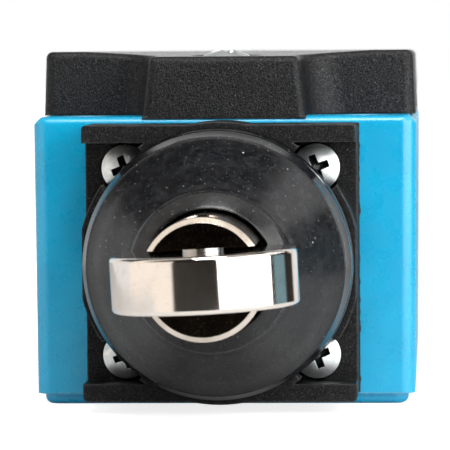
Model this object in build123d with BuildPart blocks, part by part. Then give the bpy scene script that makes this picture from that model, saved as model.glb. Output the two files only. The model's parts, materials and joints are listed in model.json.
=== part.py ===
from build123d import *
import math
import os

# Limit switch with a roller plunger, in millimetres. The origin is the centre of the mounting-hole
# pattern on the back face. +Z points out through the cover, and the plunger points along -Y.

# Body and cover
body_width = 40.4
body_height = 30.4
hole_spacing_x = 30.0
hole_spacing_y = 60.0
mounting_hole_radius = 2.65
head_end = -35.4  # y of the face that the head bolts to
conduit_end = 41.6  # y of the face that the cable enters
plinth_height = 1.15
plinth_inset = 0.7
side_draft = 0.2  # the sides lean out by this much between plinth and top
top_chamfer = 0.8
end_round = 0.75  # rounding of the top edge at both ends
upright_round = 1.5
foot_round = 0.8
floor_height = 2.6
cavity_half_x = 16.6
cavity_half_y = 21.2
cavity_corner = 2.0
pillar_radius = 2.8
plunger_passage_radius = 8.0
pilot_radius = 1.25  # holes that the head screws cut their thread in
pilot_depth = 7.5
hold_down_places = ((-11.6, -0.6), (11.6, -0.6))
cover_top = 37.3
cover_half_width = 20.1
cover_half_length = 25.65
cover_corner = 1.2
cover_taper = 2.2  # degrees
cover_round = 0.7
cover_pocket_top = 35.0
tongue_half_base = 8.65
tongue_half_top = 7.8
tongue_seat = 0.25
tongue_round = 0.8
notch_round = 4.0  # where a pad's end meets the tongue
dip_depth = 0.6  # the top is lower by this much near the head end
dip_slope = 0.0157
dip_floor_half = 8.5
dip_half = 19.6
dip_rise = 0.65  # from the dip's floor to its rim
gasket_width = 1.4
gasket_depth = 1.0
gasket_half_x = 18.1  # to the middle of the gasket's width
gasket_half_y = 22.6
gasket_corner = 3.2
gasket_slack = 0.03  # the seal is this much clear of its groove on each side
cover_screw_inset = 6.0
cover_screw_hole = 2.0
counterbore_radius = 3.8
counterbore_depth = 2.33
cover_thread_radius = 1.75  # M3.5
insert_radius = 2.6
insert_bottom = 25.2
insert_top = 30.0

# Conduit entry, M20
conduit_radius = 10.0
conduit_depth = 9.0
conduit_height = 14.6
inner_passage_radius = 8.6

# Actuator head; its depths are measured outwards from the body's head end
axis_height = 15.5
gasket_thickness = 0.8
head_depth = 10.0
pocket_depth = 5.5
head_width = 28.2
head_height = 28.5
head_corner = 0.5
rail_height = 1.85
boss_radius = 14.55
screw_spacing_x = 19.8
screw_spacing_z = 19.4
screw_clearance = 1.4
scallop_radius = 2.75  # room in the boss for a screw head
flange_radius = 9.0
flange_thickness = 1.0
bush_radius = 7.6
bead_inner = 9.6
bead_outer = 10.6
bead_depth = 1.6
key_radius = 1.0

# Plunger, with its turned fork end
travel = 6.0
plunger_radius = 5.98
bush_clearance = 0.05
plunger_reach = 26.4  # from the boss face to the fork's tip
fork_turn = 2.9  # degrees that the fork is turned about the plunger's axis
slot_width = 6.0
roller_radius = 9.1
roller_width = 5.5
roller_setback = 3.7  # from the fork's tip to the roller's axis
roller_drop = 0.2
roller_round = 0.45
pin_radius = 2.0
tip_chamfer = 0.5
spigot_radius = 2.5  # thin inner end that pushes the stem
ring_groove_radius = 5.5
clip_groove_radius = 5.2
key_slot_width = 2.1
pin_half_length = 5.6
pin_chamfer = 0.25
pin_slack = 0.04  # between the roller's bore and its pin
ring_outer = 6.9
ring_gap = 2.4  # opening of the snap ring
clip_outer = 7.1
clip_gap = 3.2
snap_slack = 0.02
seat_outer = 7.65
seat_slack = 0.05
beyond = 5.0  # cuts that must pass right through a piece run this far past it

# Contact block
block_half_x = 15.2
block_front = -17.5
block_back = 20.0
block_bottom = 6.0
block_top = 20.5
stem_width = 5.0
stem_back = 8.0
nc_bridge_front = -9.95
no_bridge_front = 2.0
bridge_thickness = 0.8
bridge_height = 2.8
bridge_half_x = 7.5
tip_radius = 1.3
tip_thickness = 0.8
tip_half_spacing = 6.0
contact_gap = 0.05
strip_thickness = 0.8
terminal_x = 8.1

# Planes and places worked out from those
boss_face = head_end - head_depth
pocket_face = head_end - pocket_depth
head_back = head_end - gasket_thickness
fork_tip = boss_face - plunger_reach
roller_y = fork_tip + roller_setback
bush_back = head_end - 0.1
clip_front = bush_back + 0.05
clip_thickness = 0.8
plunger_back = clip_front + clip_thickness + 1.05
stem_front = plunger_back + 4.6
nc_tip_front = nc_bridge_front - tip_thickness
nc_strip_back = nc_tip_front - contact_gap - tip_thickness
no_tip_back = no_bridge_front + bridge_thickness + tip_thickness
no_strip_front = no_tip_back + travel + contact_gap + tip_thickness
cover_screw_y = (head_end + cover_screw_inset, conduit_end - cover_screw_inset)


def end_plane(y):
    """Plane across the switch at y, facing the roller: its x is X and its y is Z."""
    return Plane.XZ.offset(-y)


def axis_plane(y):
    """The same plane, with its origin on the plunger's axis."""
    return Plane(origin=(0, y, axis_height), x_dir=(1, 0, 0), z_dir=(0, -1, 0))


def pan_screw(shank_radius, shank_length, head_radius, head_height, recess_width):
    """Cross-recess pan-head screw: the head sits on z = 0 and the shank points down."""
    rim = head_height * 0.45
    rise = head_height - rim
    dome_radius = (head_radius**2 + rise**2) / (2 * rise)
    half_angle = math.asin(head_radius / dome_radius) / 2
    shoulder = (
        dome_radius * math.sin(half_angle),
        head_height - dome_radius * (1 - math.cos(half_angle)),
    )
    with BuildPart() as screw:
        with BuildSketch(Plane.XZ):
            with BuildLine():
                Line((0, head_height), (0, -shank_length))
                Line((0, -shank_length), (shank_radius - 0.3, -shank_length))
                Line((shank_radius - 0.3, -shank_length), (shank_radius, 0.3 - shank_length))
                Line((shank_radius, 0.3 - shank_length), (shank_radius, 0))
                Line((shank_radius, 0), (head_radius, 0))
                Line((head_radius, 0), (head_radius, rim))
                ThreePointArc((head_radius, rim), shoulder, (0, head_height))
            make_face()
        revolve(axis=Axis.Z)
        # Cross recess, narrower at its floor
        with BuildSketch(Plane.XY.offset(head_height + 0.1)):
            Rectangle(2.1 * recess_width, 0.62 * recess_width, rotation=20)
            Rectangle(0.62 * recess_width, 2.1 * recess_width, rotation=20)
        extrude(amount=-0.62 * head_height - 0.1, taper=9, mode=Mode.SUBTRACT)
    return screw.part


def coil(wire_radius, mean_radius, start, end, turns):
    """Coil spring wound about the plunger's axis between two y planes."""
    length = end - start - 2 * wire_radius
    first = start + wire_radius
    with BuildPart() as spring:
        with BuildLine():
            wire = Helix(
                pitch=length / turns,
                height=length,
                radius=mean_radius,
                center=(0, first, axis_height),
                direction=(0, 1, 0),
            )
        with BuildSketch(Plane(origin=wire @ 0, z_dir=wire % 0)):
            Circle(wire_radius)
        sweep(path=wire, is_frenet=True)
    return spring.part


os.makedirs("parts", exist_ok=True)

# --- Body: a moulded tub with an open top -------------------------------------------------------

with BuildPart() as body_shell:
    # Main block, drawn across the width and run from end to end
    with BuildSketch(end_plane(head_end)):
        with BuildLine():
            Polyline(
                (0, plinth_height),
                (body_width / 2 - side_draft, plinth_height),
                (body_width / 2, body_height - top_chamfer),
                (body_width / 2 - top_chamfer, body_height),
                (0, body_height),
            )
            mirror(about=Plane.YZ)
        make_face()
    extrude(amount=head_end - conduit_end)
    upright = body_shell.edges().filter_by(lambda e: abs(e.center().X) > body_width / 2 - 0.5)
    fillet(upright.filter_by(lambda e: e.bounding_box().size.Z > 20), radius=upright_round)
    ends = body_shell.edges().group_by(Axis.Z)[-1].filter_by(Axis.X)
    fillet(ends, radius=end_round)
    # Plinth, set in all round
    with BuildSketch(Plane.XY):
        with Locations((0, (head_end + conduit_end) / 2)):
            RectangleRounded(
                body_width - side_draft * 2 - plinth_inset * 2,
                conduit_end - head_end - plinth_inset * 2,
                upright_round,
            )
    extrude(amount=plinth_height)
    fillet(body_shell.edges().group_by(Axis.Z)[0], radius=foot_round)
    # Wiring space
    with BuildSketch(Plane.XY.offset(body_height)):
        RectangleRounded(2 * cavity_half_x, 2 * cavity_half_y, cavity_corner)
    extrude(amount=floor_height - body_height, mode=Mode.SUBTRACT)
    # Two pillars that carry the contact block
    with BuildSketch(Plane.XY.offset(floor_height - 0.2)):
        with Locations(*hold_down_places):
            Circle(pillar_radius)
    extrude(amount=block_bottom - floor_height + 0.2)
    with Locations(*[(x, y, block_bottom) for x, y in hold_down_places]):
        Hole(radius=1.5, depth=4.6)
    # Passage for the plunger, and the holes that take the head screws
    with BuildSketch(axis_plane(head_end)):
        Circle(plunger_passage_radius)
    extrude(amount=head_end + cavity_half_y - 1.0, mode=Mode.SUBTRACT)
    with BuildSketch(axis_plane(head_end)):
        with GridLocations(screw_spacing_x, screw_spacing_z, 2, 2):
            Circle(pilot_radius)
    extrude(amount=-pilot_depth, mode=Mode.SUBTRACT)
    # Conduit entry at the other end, opening into the wiring space
    with BuildSketch(end_plane(conduit_end)):
        with Locations((0, conduit_height)):
            Circle(conduit_radius)
    extrude(amount=conduit_depth, mode=Mode.SUBTRACT)
    with BuildSketch(end_plane(conduit_end - conduit_depth)):
        with Locations((0, conduit_height)):
            Circle(inner_passage_radius)
    extrude(amount=conduit_end - conduit_depth - cavity_half_y + 1.0, mode=Mode.SUBTRACT)
    # Mounting holes
    with Locations(Location((0, 0, body_height))):
        with GridLocations(hole_spacing_x, hole_spacing_y, 2, 2):
            Hole(radius=mounting_hole_radius)
    # Groove for the cover gasket
    with BuildSketch(Plane.XY.offset(body_height)):
        RectangleRounded(
            2 * gasket_half_x + gasket_width, 2 * gasket_half_y + gasket_width, gasket_corner
        )
        RectangleRounded(
            2 * gasket_half_x - gasket_width,
            2 * gasket_half_y - gasket_width,
            gasket_corner - gasket_width,
            mode=Mode.SUBTRACT,
        )
    extrude(amount=-gasket_depth, mode=Mode.SUBTRACT)
    # Shallow seats for the cover's tongues, and the holes for the threaded inserts
    for seat_edge, body_end in ((-cover_half_length, head_end), (cover_half_length, conduit_end)):
        with BuildSketch(Plane.XY.offset(body_height)):
            with Locations((0, (seat_edge + body_end) / 2)):
                Rectangle(2 * tongue_half_base, abs(body_end - seat_edge))
        extrude(amount=-tongue_seat, mode=Mode.SUBTRACT)
    with Locations(*[(0, y, body_height) for y in cover_screw_y]):
        Hole(radius=insert_radius, depth=body_height - insert_bottom)

# --- Cover and its seal --------------------------------------------------------------------------

with BuildPart() as cover:
    # Pads, with drafted walls
    with BuildSketch(Plane.XY.offset(body_height)):
        RectangleRounded(2 * cover_half_width, 2 * cover_half_length, cover_corner)
    extrude(amount=cover_top - body_height, taper=cover_taper)
    # Tongue, drawn across the width and run from end to end
    with BuildSketch(end_plane(head_end)):
        with BuildLine():
            Polyline(
                (0, body_height),
                (tongue_half_base, body_height),
                (tongue_half_top, cover_top),
                (0, cover_top),
            )
            mirror(about=Plane.YZ)
        make_face()
    extrude(amount=head_end - conduit_end)
    inner = cover.edges().filter_by(
        lambda e: abs(abs(e.center().X) - (tongue_half_base + tongue_half_top) / 2) < 0.6
        and abs(abs(e.center().Y) - cover_half_length) < 1.0
        and e.bounding_box().size.Z > 6
    )
    fillet(inner, radius=notch_round)
    tongue_corners = cover.edges().filter_by(
        lambda e: abs(e.center().X) < tongue_half_base
        and abs(e.center().Y) > cover_half_length + 5
        and e.bounding_box().size.Z > 6
    )
    fillet(tongue_corners, radius=tongue_round)
    # Lips that drop into the body's seats
    for seat_edge, body_end in ((-cover_half_length, head_end), (cover_half_length, conduit_end)):
        with BuildSketch(Plane.XY.offset(body_height)):
            with Locations((0, (seat_edge + body_end) / 2)):
                Rectangle(2 * tongue_half_base - 0.02, abs(body_end - seat_edge) - 0.02)
        extrude(amount=-tongue_seat)
    # The top dips towards the head end between two sloping flanks
    dip = Plane(
        origin=(0, head_end - 1, cover_top - dip_depth), x_dir=(1, 0, 0), z_dir=(0, -1, -dip_slope)
    )
    with BuildSketch(dip):
        with BuildLine():
            Polyline((0, 0), (dip_floor_half, 0), (dip_half, dip_rise), (dip_half, 5), (0, 5))
            mirror(about=Plane.YZ)
        make_face()
    extrude(amount=-60, mode=Mode.SUBTRACT)
    # Round the outer top edges, but not the dip's own ridges
    top = cover.edges().filter_by(lambda e: e.center().Z > cover_top - 1.0)
    rim = top.filter_by(
        lambda e: abs(e.center().X) > cover_half_width - 1.0
        or abs(e.center().Y) > cover_half_length - 1.0
    )
    fillet(rim, radius=cover_round)
    # Hollow over the wiring space
    with BuildSketch(Plane.XY.offset(body_height)):
        RectangleRounded(2 * cavity_half_x, 2 * cavity_half_y, cavity_corner)
    extrude(amount=cover_pocket_top - body_height, mode=Mode.SUBTRACT)
    # Screw holes, with a sunk seat for each head
    with Locations(*[(0, y, cover_top + 1) for y in cover_screw_y]):
        CounterBoreHole(
            radius=cover_screw_hole,
            counter_bore_radius=counterbore_radius,
            counter_bore_depth=counterbore_depth + 1,
        )

with BuildPart() as cover_gasket:
    with BuildSketch(Plane.XY.offset(body_height - gasket_depth)):
        outer_x = 2 * (gasket_half_x - gasket_slack) + gasket_width
        outer_y = 2 * (gasket_half_y - gasket_slack) + gasket_width
        RectangleRounded(outer_x, outer_y, gasket_corner - gasket_slack)
        inner_x = 2 * (gasket_half_x + gasket_slack) - gasket_width
        inner_y = 2 * (gasket_half_y + gasket_slack) - gasket_width
        inner_corner = gasket_corner + gasket_slack - gasket_width
        RectangleRounded(inner_x, inner_y, inner_corner, mode=Mode.SUBTRACT)
    extrude(amount=gasket_depth)

with BuildPart() as cover_screws:
    cover_seat = cover_top - counterbore_depth
    with Locations(*[(0, y, cover_seat) for y in cover_screw_y]):
        add(
            pan_screw(
                shank_radius=cover_thread_radius,
                shank_length=cover_seat - insert_bottom - 0.3,
                head_radius=3.4,
                head_height=2.5,
                recess_width=1.9,
            )
        )

with BuildPart() as cover_inserts:
    with BuildSketch(Plane.XY.offset(insert_bottom)):
        with Locations(*[(0, y) for y in cover_screw_y]):
            Circle(insert_radius)
            Circle(cover_thread_radius, mode=Mode.SUBTRACT)
    extrude(amount=insert_top - insert_bottom)

# --- Actuator head -------------------------------------------------------------------------------

with BuildPart() as head_gasket:
    with BuildSketch(axis_plane(head_end)):
        Rectangle(head_width + 0.2, head_height - 0.3)
        Circle(plunger_passage_radius + 0.2, mode=Mode.SUBTRACT)
        with GridLocations(screw_spacing_x, screw_spacing_z, 2, 2):
            Circle(screw_clearance, mode=Mode.SUBTRACT)
    extrude(amount=gasket_thickness)

with BuildPart() as head_block:
    # Base plate up to the floor of the corner pockets
    with BuildSketch(axis_plane(head_back)):
        Rectangle(head_width, head_height)
    extrude(amount=pocket_depth - gasket_thickness)
    # Rails along the top and bottom, and the round boss, cut flush with the sides
    with BuildSketch(axis_plane(pocket_face)):
        with Locations((0, (head_height - rail_height) / 2), (0, (rail_height - head_height) / 2)):
            Rectangle(head_width, rail_height)
    extrude(amount=head_depth - pocket_depth)
    with BuildSketch(axis_plane(head_back)):
        Circle(boss_radius)
        Rectangle(head_width, 2 * boss_radius, mode=Mode.INTERSECT)
    extrude(amount=head_depth - gasket_thickness)
    outer_corners = head_block.edges().filter_by(Axis.Y).filter_by(
        lambda e: abs(e.center().X) > head_width / 2 - 0.1
        and abs(abs(e.center().Z - axis_height) - head_height / 2) < 0.1
    )
    fillet(outer_corners, radius=head_corner)
    # Stepped bore for the guide bush
    with BuildSketch(axis_plane(boss_face)):
        Circle(flange_radius)
    extrude(amount=-flange_thickness, mode=Mode.SUBTRACT)
    with BuildSketch(axis_plane(boss_face)):
        Circle(bush_radius)
    extrude(amount=-head_depth, mode=Mode.SUBTRACT)
    # Groove that holds the boot's bead
    with BuildSketch(axis_plane(boss_face)):
        Circle(bead_outer)
        Circle(bead_inner, mode=Mode.SUBTRACT)
    extrude(amount=-bead_depth, mode=Mode.SUBTRACT)
    # Scallops in the boss for the screw heads, their clearance holes, and the key pin's hole
    with BuildSketch(axis_plane(boss_face)):
        with GridLocations(screw_spacing_x, screw_spacing_z, 2, 2):
            Circle(scallop_radius)
    extrude(amount=pocket_depth - head_depth, mode=Mode.SUBTRACT)
    with BuildSketch(axis_plane(pocket_face)):
        with GridLocations(screw_spacing_x, screw_spacing_z, 2, 2):
            Circle(screw_clearance)
    extrude(amount=-pocket_depth, mode=Mode.SUBTRACT)
    key_y = (boss_face + head_back) / 2
    with BuildSketch(Plane(origin=(0, key_y, 0), z_dir=(0, 0, 1))):
        Circle(key_radius)
    extrude(amount=axis_height - bush_radius + 0.6, mode=Mode.SUBTRACT)

with BuildPart() as head_screws:
    with Locations(Location(axis_plane(pocket_face))):
        with GridLocations(screw_spacing_x, screw_spacing_z, 2, 2):
            add(
                pan_screw(
                    shank_radius=pilot_radius,
                    shank_length=12.0,
                    head_radius=2.45,
                    head_height=1.7,
                    recess_width=1.35,
                )
            )

with BuildPart() as guide_bush:
    with BuildSketch(axis_plane(boss_face)):
        Circle(flange_radius)
    extrude(amount=-flange_thickness)
    with BuildSketch(axis_plane(boss_face)):
        Circle(bush_radius)
    extrude(amount=boss_face - bush_back)
    with BuildSketch(axis_plane(boss_face)):
        Circle(plunger_radius + bush_clearance)
    extrude(amount=boss_face - bush_back, mode=Mode.SUBTRACT)
    with BuildSketch(Plane(origin=(0, key_y, 0), z_dir=(0, 0, 1))):
        Circle(key_radius)
    extrude(amount=axis_height - 3.0, mode=Mode.SUBTRACT)

key_floor = axis_height - 5.0
key_foot = 3.0
with BuildPart() as key_pin:
    with BuildSketch(Plane(origin=(0, key_y, key_foot), z_dir=(0, 0, 1))):
        Circle(key_radius)
    extrude(amount=key_floor - 0.3 - key_foot)

# Boot: bead, skirt, domed bell, collar and a lip that grips the plunger
lip_reach = 13.3
collar_reach = 16.0
with BuildPart() as boot:
    with BuildSketch(Plane(origin=(0, boss_face, axis_height), x_dir=(1, 0, 0), z_dir=(0, 0, 1))):
        with BuildLine():
            Polyline((9.4, 0), (9.65, 0), (9.65, 1.4), (10.55, 1.4), (10.55, 0), (13.8, 0))
            Line((13.8, 0), (13.35, -3.6))
            ThreePointArc((13.35, -3.6), (13.2, -3.9), (12.9, -4.15))
            ThreePointArc((12.9, -4.15), (10.9, -8.9), (8.4, -12.6))
            Polyline((8.4, -12.6), (8.2, -13.4), (8.15, -collar_reach + 0.7))
            ThreePointArc((8.15, -collar_reach + 0.7), (7.93, -collar_reach + 0.2), (7.45, -collar_reach))
            Polyline(
                (7.45, -collar_reach),
                (6.9, -collar_reach + 0.1),
                (6.4, -lip_reach),
                (plunger_radius, -lip_reach),
                (plunger_radius, -lip_reach + 2.0),
                (7.9, -lip_reach + 2.0),
            )
            ThreePointArc((7.9, -lip_reach + 2.0), (10.2, -7.3), (12.1, -3.4))
            Polyline((12.1, -3.4), (12.3, -1.2), (9.4, -1.2), (9.4, 0))
        make_face()
    revolve(axis=Axis((0, 0, axis_height), (0, 1, 0)))

# --- Plunger and roller ---------------------------------------------------------------------------

turn = math.radians(fork_turn)
fork_x = (math.cos(turn), 0, math.sin(turn))
fork_z = (-math.sin(turn), 0, math.cos(turn))
fork_plane = Plane(origin=(0, roller_y, axis_height), x_dir=fork_x, z_dir=fork_z)
slot_floor = roller_y + roller_radius + 0.3
ring_front = boss_face - lip_reach + 2.05
ring_thickness = 0.8
seat_thickness = 0.6
seat_back = ring_front + ring_thickness + seat_thickness

with BuildPart() as plunger:
    with BuildSketch(axis_plane(fork_tip)):
        Circle(plunger_radius)
    extrude(amount=fork_tip - plunger_back)
    chamfer(plunger.edges().sort_by(Axis.Y)[0], length=tip_chamfer)
    with BuildSketch(axis_plane(plunger_back)):
        Circle(spigot_radius)
    extrude(amount=plunger_back - stem_front)
    # Slot for the roller, and the pin's hole through both cheeks
    with BuildSketch(fork_plane.offset(-slot_width / 2)):
        with Locations((0, (slot_floor + fork_tip) / 2 - roller_y)):
            Rectangle(2 * plunger_radius + beyond, slot_floor - fork_tip)
    extrude(amount=slot_width, mode=Mode.SUBTRACT)
    with BuildSketch(fork_plane.offset(-plunger_radius - beyond)):
        Circle(pin_radius)
    extrude(amount=2 * (plunger_radius + beyond), mode=Mode.SUBTRACT)
    # Grooves for the seat ring and the retaining clip
    for groove_front, groove_radius in (
        (ring_front, ring_groove_radius),
        (clip_front, clip_groove_radius),
    ):
        with BuildSketch(axis_plane(groove_front)):
            Circle(plunger_radius + beyond)
            Circle(groove_radius, mode=Mode.SUBTRACT)
        extrude(amount=-clip_thickness, mode=Mode.SUBTRACT)
    # Key groove along the underside, long enough for the travel
    with BuildSketch(Plane.XY.offset(key_floor)):
        with Locations((0, key_y - travel / 2)):
            SlotOverall(travel + 2.5, key_slot_width, rotation=90)
    extrude(amount=-beyond, mode=Mode.SUBTRACT)

with BuildPart() as roller_pin:
    with BuildSketch(fork_plane.offset(-pin_half_length)):
        Circle(pin_radius)
    extrude(amount=2 * pin_half_length)
    chamfer(roller_pin.edges().filter_by(GeomType.CIRCLE), length=pin_chamfer)

with BuildPart() as roller:
    with BuildSketch(fork_plane.offset(-roller_width / 2 - roller_drop)):
        Circle(roller_radius)
    extrude(amount=roller_width)
    fillet(roller.edges().filter_by(GeomType.CIRCLE), radius=roller_round)
    with BuildSketch(fork_plane.offset(-roller_width)):
        Circle(pin_radius + pin_slack)
    extrude(amount=2 * roller_width, mode=Mode.SUBTRACT)

with BuildPart() as retaining_clip:
    with BuildSketch(axis_plane(clip_front)):
        Circle(clip_outer)
        Circle(clip_groove_radius + snap_slack, mode=Mode.SUBTRACT)
        with Locations((0, clip_outer)):
            Rectangle(clip_gap, clip_outer, mode=Mode.SUBTRACT)
    extrude(amount=-(clip_thickness - snap_slack))

with BuildPart() as seat_ring:
    with BuildSketch(axis_plane(ring_front)):
        Circle(ring_outer)
        Circle(ring_groove_radius + snap_slack, mode=Mode.SUBTRACT)
        with Locations((0, ring_outer)):
            Rectangle(ring_gap, ring_outer, mode=Mode.SUBTRACT)
    extrude(amount=-ring_thickness)

with BuildPart() as spring_seat:
    with BuildSketch(axis_plane(ring_front + ring_thickness)):
        Circle(seat_outer)
        Circle(plunger_radius + seat_slack, mode=Mode.SUBTRACT)
    extrude(amount=-seat_thickness)

# --- Contact block ---------------------------------------------------------------------------------

pocket_back = stem_back + travel + 4.5
nc_leg_front = nc_strip_back - strip_thickness
no_leg_back = no_strip_front + strip_thickness
nc_tab_front = block_front + 0.2
no_tab_back = no_leg_back + 5.9
nc_screw_y = (nc_tab_front + nc_strip_back) / 2
no_screw_y = (no_strip_front + no_tab_back) / 2 + 0.4
terminal_places = [(x, y) for x in (-terminal_x, terminal_x) for y in (nc_screw_y, no_screw_y)]
leg_inner = 4.2
leg_outer = 12.0
leg_bottom = 13.0
block_corner = 1.0
stem_slack = 0.1
chamber_width = 16.0
chamber_bottom = 11.0
hold_down_head_depth = 8.0
strip_hole = 1.6
thread_radius = 1.5  # M3
barrier_width = 2.0
barrier_length = 5.4
barrier_height = 4.0
lid_width = 17.4
lid_thickness = 1.2
lid_rebate = 1.0
small_corner = 0.6

with BuildPart() as contact_base:
    with BuildSketch(Plane.XY.offset(block_bottom)):
        with Locations((0, (block_front + block_back) / 2)):
            RectangleRounded(2 * block_half_x, block_back - block_front, block_corner)
    extrude(amount=block_top - block_bottom)
    # Contact chamber, with slots for the legs of the terminal strips
    with BuildSketch(Plane.XY.offset(block_top)):
        with Locations((0, (nc_strip_back + no_strip_front) / 2)):
            Rectangle(chamber_width, no_strip_front - nc_strip_back)
    extrude(amount=chamber_bottom - block_top, mode=Mode.SUBTRACT)
    with BuildSketch(Plane.XY.offset(block_top)):
        for side in (-1, 1):
            with Locations((side * (leg_inner + leg_outer) / 2, (nc_leg_front + nc_strip_back) / 2)):
                Rectangle(leg_outer - leg_inner, strip_thickness)
            with Locations((side * (leg_inner + leg_outer) / 2, (no_strip_front + no_leg_back) / 2)):
                Rectangle(leg_outer - leg_inner, strip_thickness)
    extrude(amount=leg_bottom - block_top, mode=Mode.SUBTRACT)
    # Guide for the stem
    with BuildSketch(axis_plane(block_front)):
        Rectangle(stem_width + stem_slack, stem_width + stem_slack)
    extrude(amount=block_front - pocket_back, mode=Mode.SUBTRACT)
    # Holes for the hold-down screws and the terminal screws
    with Locations(*[(x, y, block_top) for x, y in hold_down_places]):
        CounterBoreHole(radius=strip_hole, counter_bore_radius=2.9, counter_bore_depth=hold_down_head_depth)
    with Locations(*[(x, y, block_top) for x, y in terminal_places]):
        Hole(radius=thread_radius, depth=6.0)
    # Barriers between the terminals
    with BuildSketch(Plane.XY.offset(block_top)):
        with Locations((0, block_front + 2.9), (0, block_back - 4.3)):
            RectangleRounded(barrier_width, barrier_length, 0.25 * barrier_width)
    extrude(amount=barrier_height)


def block_screw(shank_length):
    """M3 screw of the contact block."""
    return pan_screw(
        shank_radius=thread_radius,
        shank_length=shank_length,
        head_radius=2.75,
        head_height=2.0,
        recess_width=1.5,
    )


with BuildPart() as contact_lid:
    with BuildSketch(Plane.XY.offset(block_top)):
        with Locations((0, (nc_strip_back + no_strip_front) / 2)):
            RectangleRounded(lid_width, no_strip_front - nc_strip_back - 0.6, small_corner)
    extrude(amount=lid_thickness)
    with BuildSketch(Plane.XY.offset(block_top)):
        with Locations((0, (nc_strip_back + no_strip_front) / 2)):
            Rectangle(chamber_width - 0.2, no_strip_front - nc_strip_back - 0.8)
    extrude(amount=-lid_rebate)

with BuildPart() as base_screws:
    with Locations(*[(x, y, block_top - hold_down_head_depth) for x, y in hold_down_places]):
        add(block_screw(10.8))

with BuildPart() as contact_stem:
    with BuildSketch(axis_plane(stem_front)):
        RectangleRounded(stem_width, stem_width, 0.4)
    extrude(amount=stem_front - stem_back)
    # Windows for the bridges and their springs
    nc_window_back = nc_bridge_front + 4.35
    no_window_front = no_bridge_front - 3.6
    no_window_back = no_bridge_front + bridge_thickness
    for window_front, window_back in (
        (nc_bridge_front, nc_window_back),
        (no_window_front, no_window_back),
    ):
        with BuildSketch(Plane.YZ.offset(-stem_width)):
            with Locations(((window_front + window_back) / 2, axis_height)):
                Rectangle(window_back - window_front, bridge_height + 0.2)
        extrude(amount=2 * stem_width, mode=Mode.SUBTRACT)


def bridge(front):
    """Flat contact bridge across the stem."""
    with BuildPart() as strip:
        with BuildSketch(axis_plane(front)):
            RectangleRounded(2 * bridge_half_x, bridge_height, small_corner)
        extrude(amount=-bridge_thickness)
    return strip.part


with BuildPart() as nc_bridge:
    add(bridge(nc_bridge_front))

with BuildPart() as no_bridge:
    add(bridge(no_bridge_front))


def contact_tips(fronts):
    """A pair of round contact tips, left and right of the stem, at each y."""
    with BuildPart() as tips:
        for front in fronts:
            with BuildSketch(axis_plane(front)):
                with Locations((-tip_half_spacing, 0), (tip_half_spacing, 0)):
                    Circle(tip_radius)
            extrude(amount=-tip_thickness)
    return tips.part


with BuildPart() as moving_tips:
    add(contact_tips((nc_tip_front, no_bridge_front + bridge_thickness)))

with BuildPart() as fixed_tips:
    add(contact_tips((nc_strip_back, no_strip_front - tip_thickness)))


def terminal_strips(leg_y, tab_y, screw_y):
    """Left and right strips: an upright leg behind the contact tip, and a tab under the screw."""
    with BuildPart() as strips:
        for side in (-1, 1):
            middle = side * (leg_inner + leg_outer) / 2
            with BuildSketch(Plane.XY.offset(leg_bottom)):
                with Locations((middle, sum(leg_y) / 2)):
                    Rectangle(leg_outer - leg_inner, strip_thickness)
            extrude(amount=block_top + strip_thickness - leg_bottom)
            with BuildSketch(Plane.XY.offset(block_top)):
                with Locations((middle, sum(tab_y) / 2)):
                    Rectangle(leg_outer - leg_inner, abs(tab_y[1] - tab_y[0]))
                with Locations((side * terminal_x, screw_y)):
                    Circle(strip_hole, mode=Mode.SUBTRACT)
            extrude(amount=strip_thickness)
    return strips.part


with BuildPart() as nc_terminals:
    add(terminal_strips((nc_leg_front, nc_strip_back), (nc_tab_front, nc_strip_back), nc_screw_y))

with BuildPart() as no_terminals:
    add(terminal_strips((no_strip_front, no_leg_back), (no_strip_front, no_tab_back), no_screw_y))

clamp_thickness = 1.0
with BuildPart() as clamp_plates:
    with BuildSketch(Plane.XY.offset(block_top + strip_thickness)):
        with Locations(*terminal_places):
            RectangleRounded(6.2, 5.2, 0.5)
            Circle(strip_hole, mode=Mode.SUBTRACT)
    extrude(amount=clamp_thickness)

with BuildPart() as terminal_screws:
    screw_seat = block_top + strip_thickness + clamp_thickness
    with Locations(*[(x, y, screw_seat) for x, y in terminal_places]):
        add(block_screw(7.3))

# --- Springs ------------------------------------------------------------------------------------

return_wire = 0.4
return_coil_radius = 7.05
stem_wire = 0.25
stem_coil_radius = 1.9
contact_wire = 0.15
contact_coil_radius = 1.05

with BuildPart() as return_spring:
    add(coil(return_wire, return_coil_radius, seat_back, boss_face, 4))

with BuildPart() as stem_spring:
    add(coil(stem_wire, stem_coil_radius, stem_back, pocket_back, 5))

with BuildPart() as contact_springs:
    add(coil(contact_wire, contact_coil_radius, nc_bridge_front + bridge_thickness, nc_window_back, 4))
    add(coil(contact_wire, contact_coil_radius, no_window_front, no_bridge_front, 4))

pieces = {
    "body_shell": body_shell,
    "cover": cover,
    "cover_gasket": cover_gasket,
    "cover_screws": cover_screws,
    "cover_inserts": cover_inserts,
    "head_gasket": head_gasket,
    "head_block": head_block,
    "head_screws": head_screws,
    "guide_bush": guide_bush,
    "key_pin": key_pin,
    "boot": boot,
    "plunger": plunger,
    "roller_pin": roller_pin,
    "roller": roller,
    "retaining_clip": retaining_clip,
    "seat_ring": seat_ring,
    "spring_seat": spring_seat,
    "contact_base": contact_base,
    "contact_lid": contact_lid,
    "base_screws": base_screws,
    "contact_stem": contact_stem,
    "nc_bridge": nc_bridge,
    "no_bridge": no_bridge,
    "moving_tips": moving_tips,
    "fixed_tips": fixed_tips,
    "nc_terminals": nc_terminals,
    "no_terminals": no_terminals,
    "clamp_plates": clamp_plates,
    "terminal_screws": terminal_screws,
    "return_spring": return_spring,
    "stem_spring": stem_spring,
    "contact_springs": contact_springs,
}
for name, piece in pieces.items():
    piece.part.label = name
    export_step(piece.part, f"parts/{name}.step")
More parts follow.
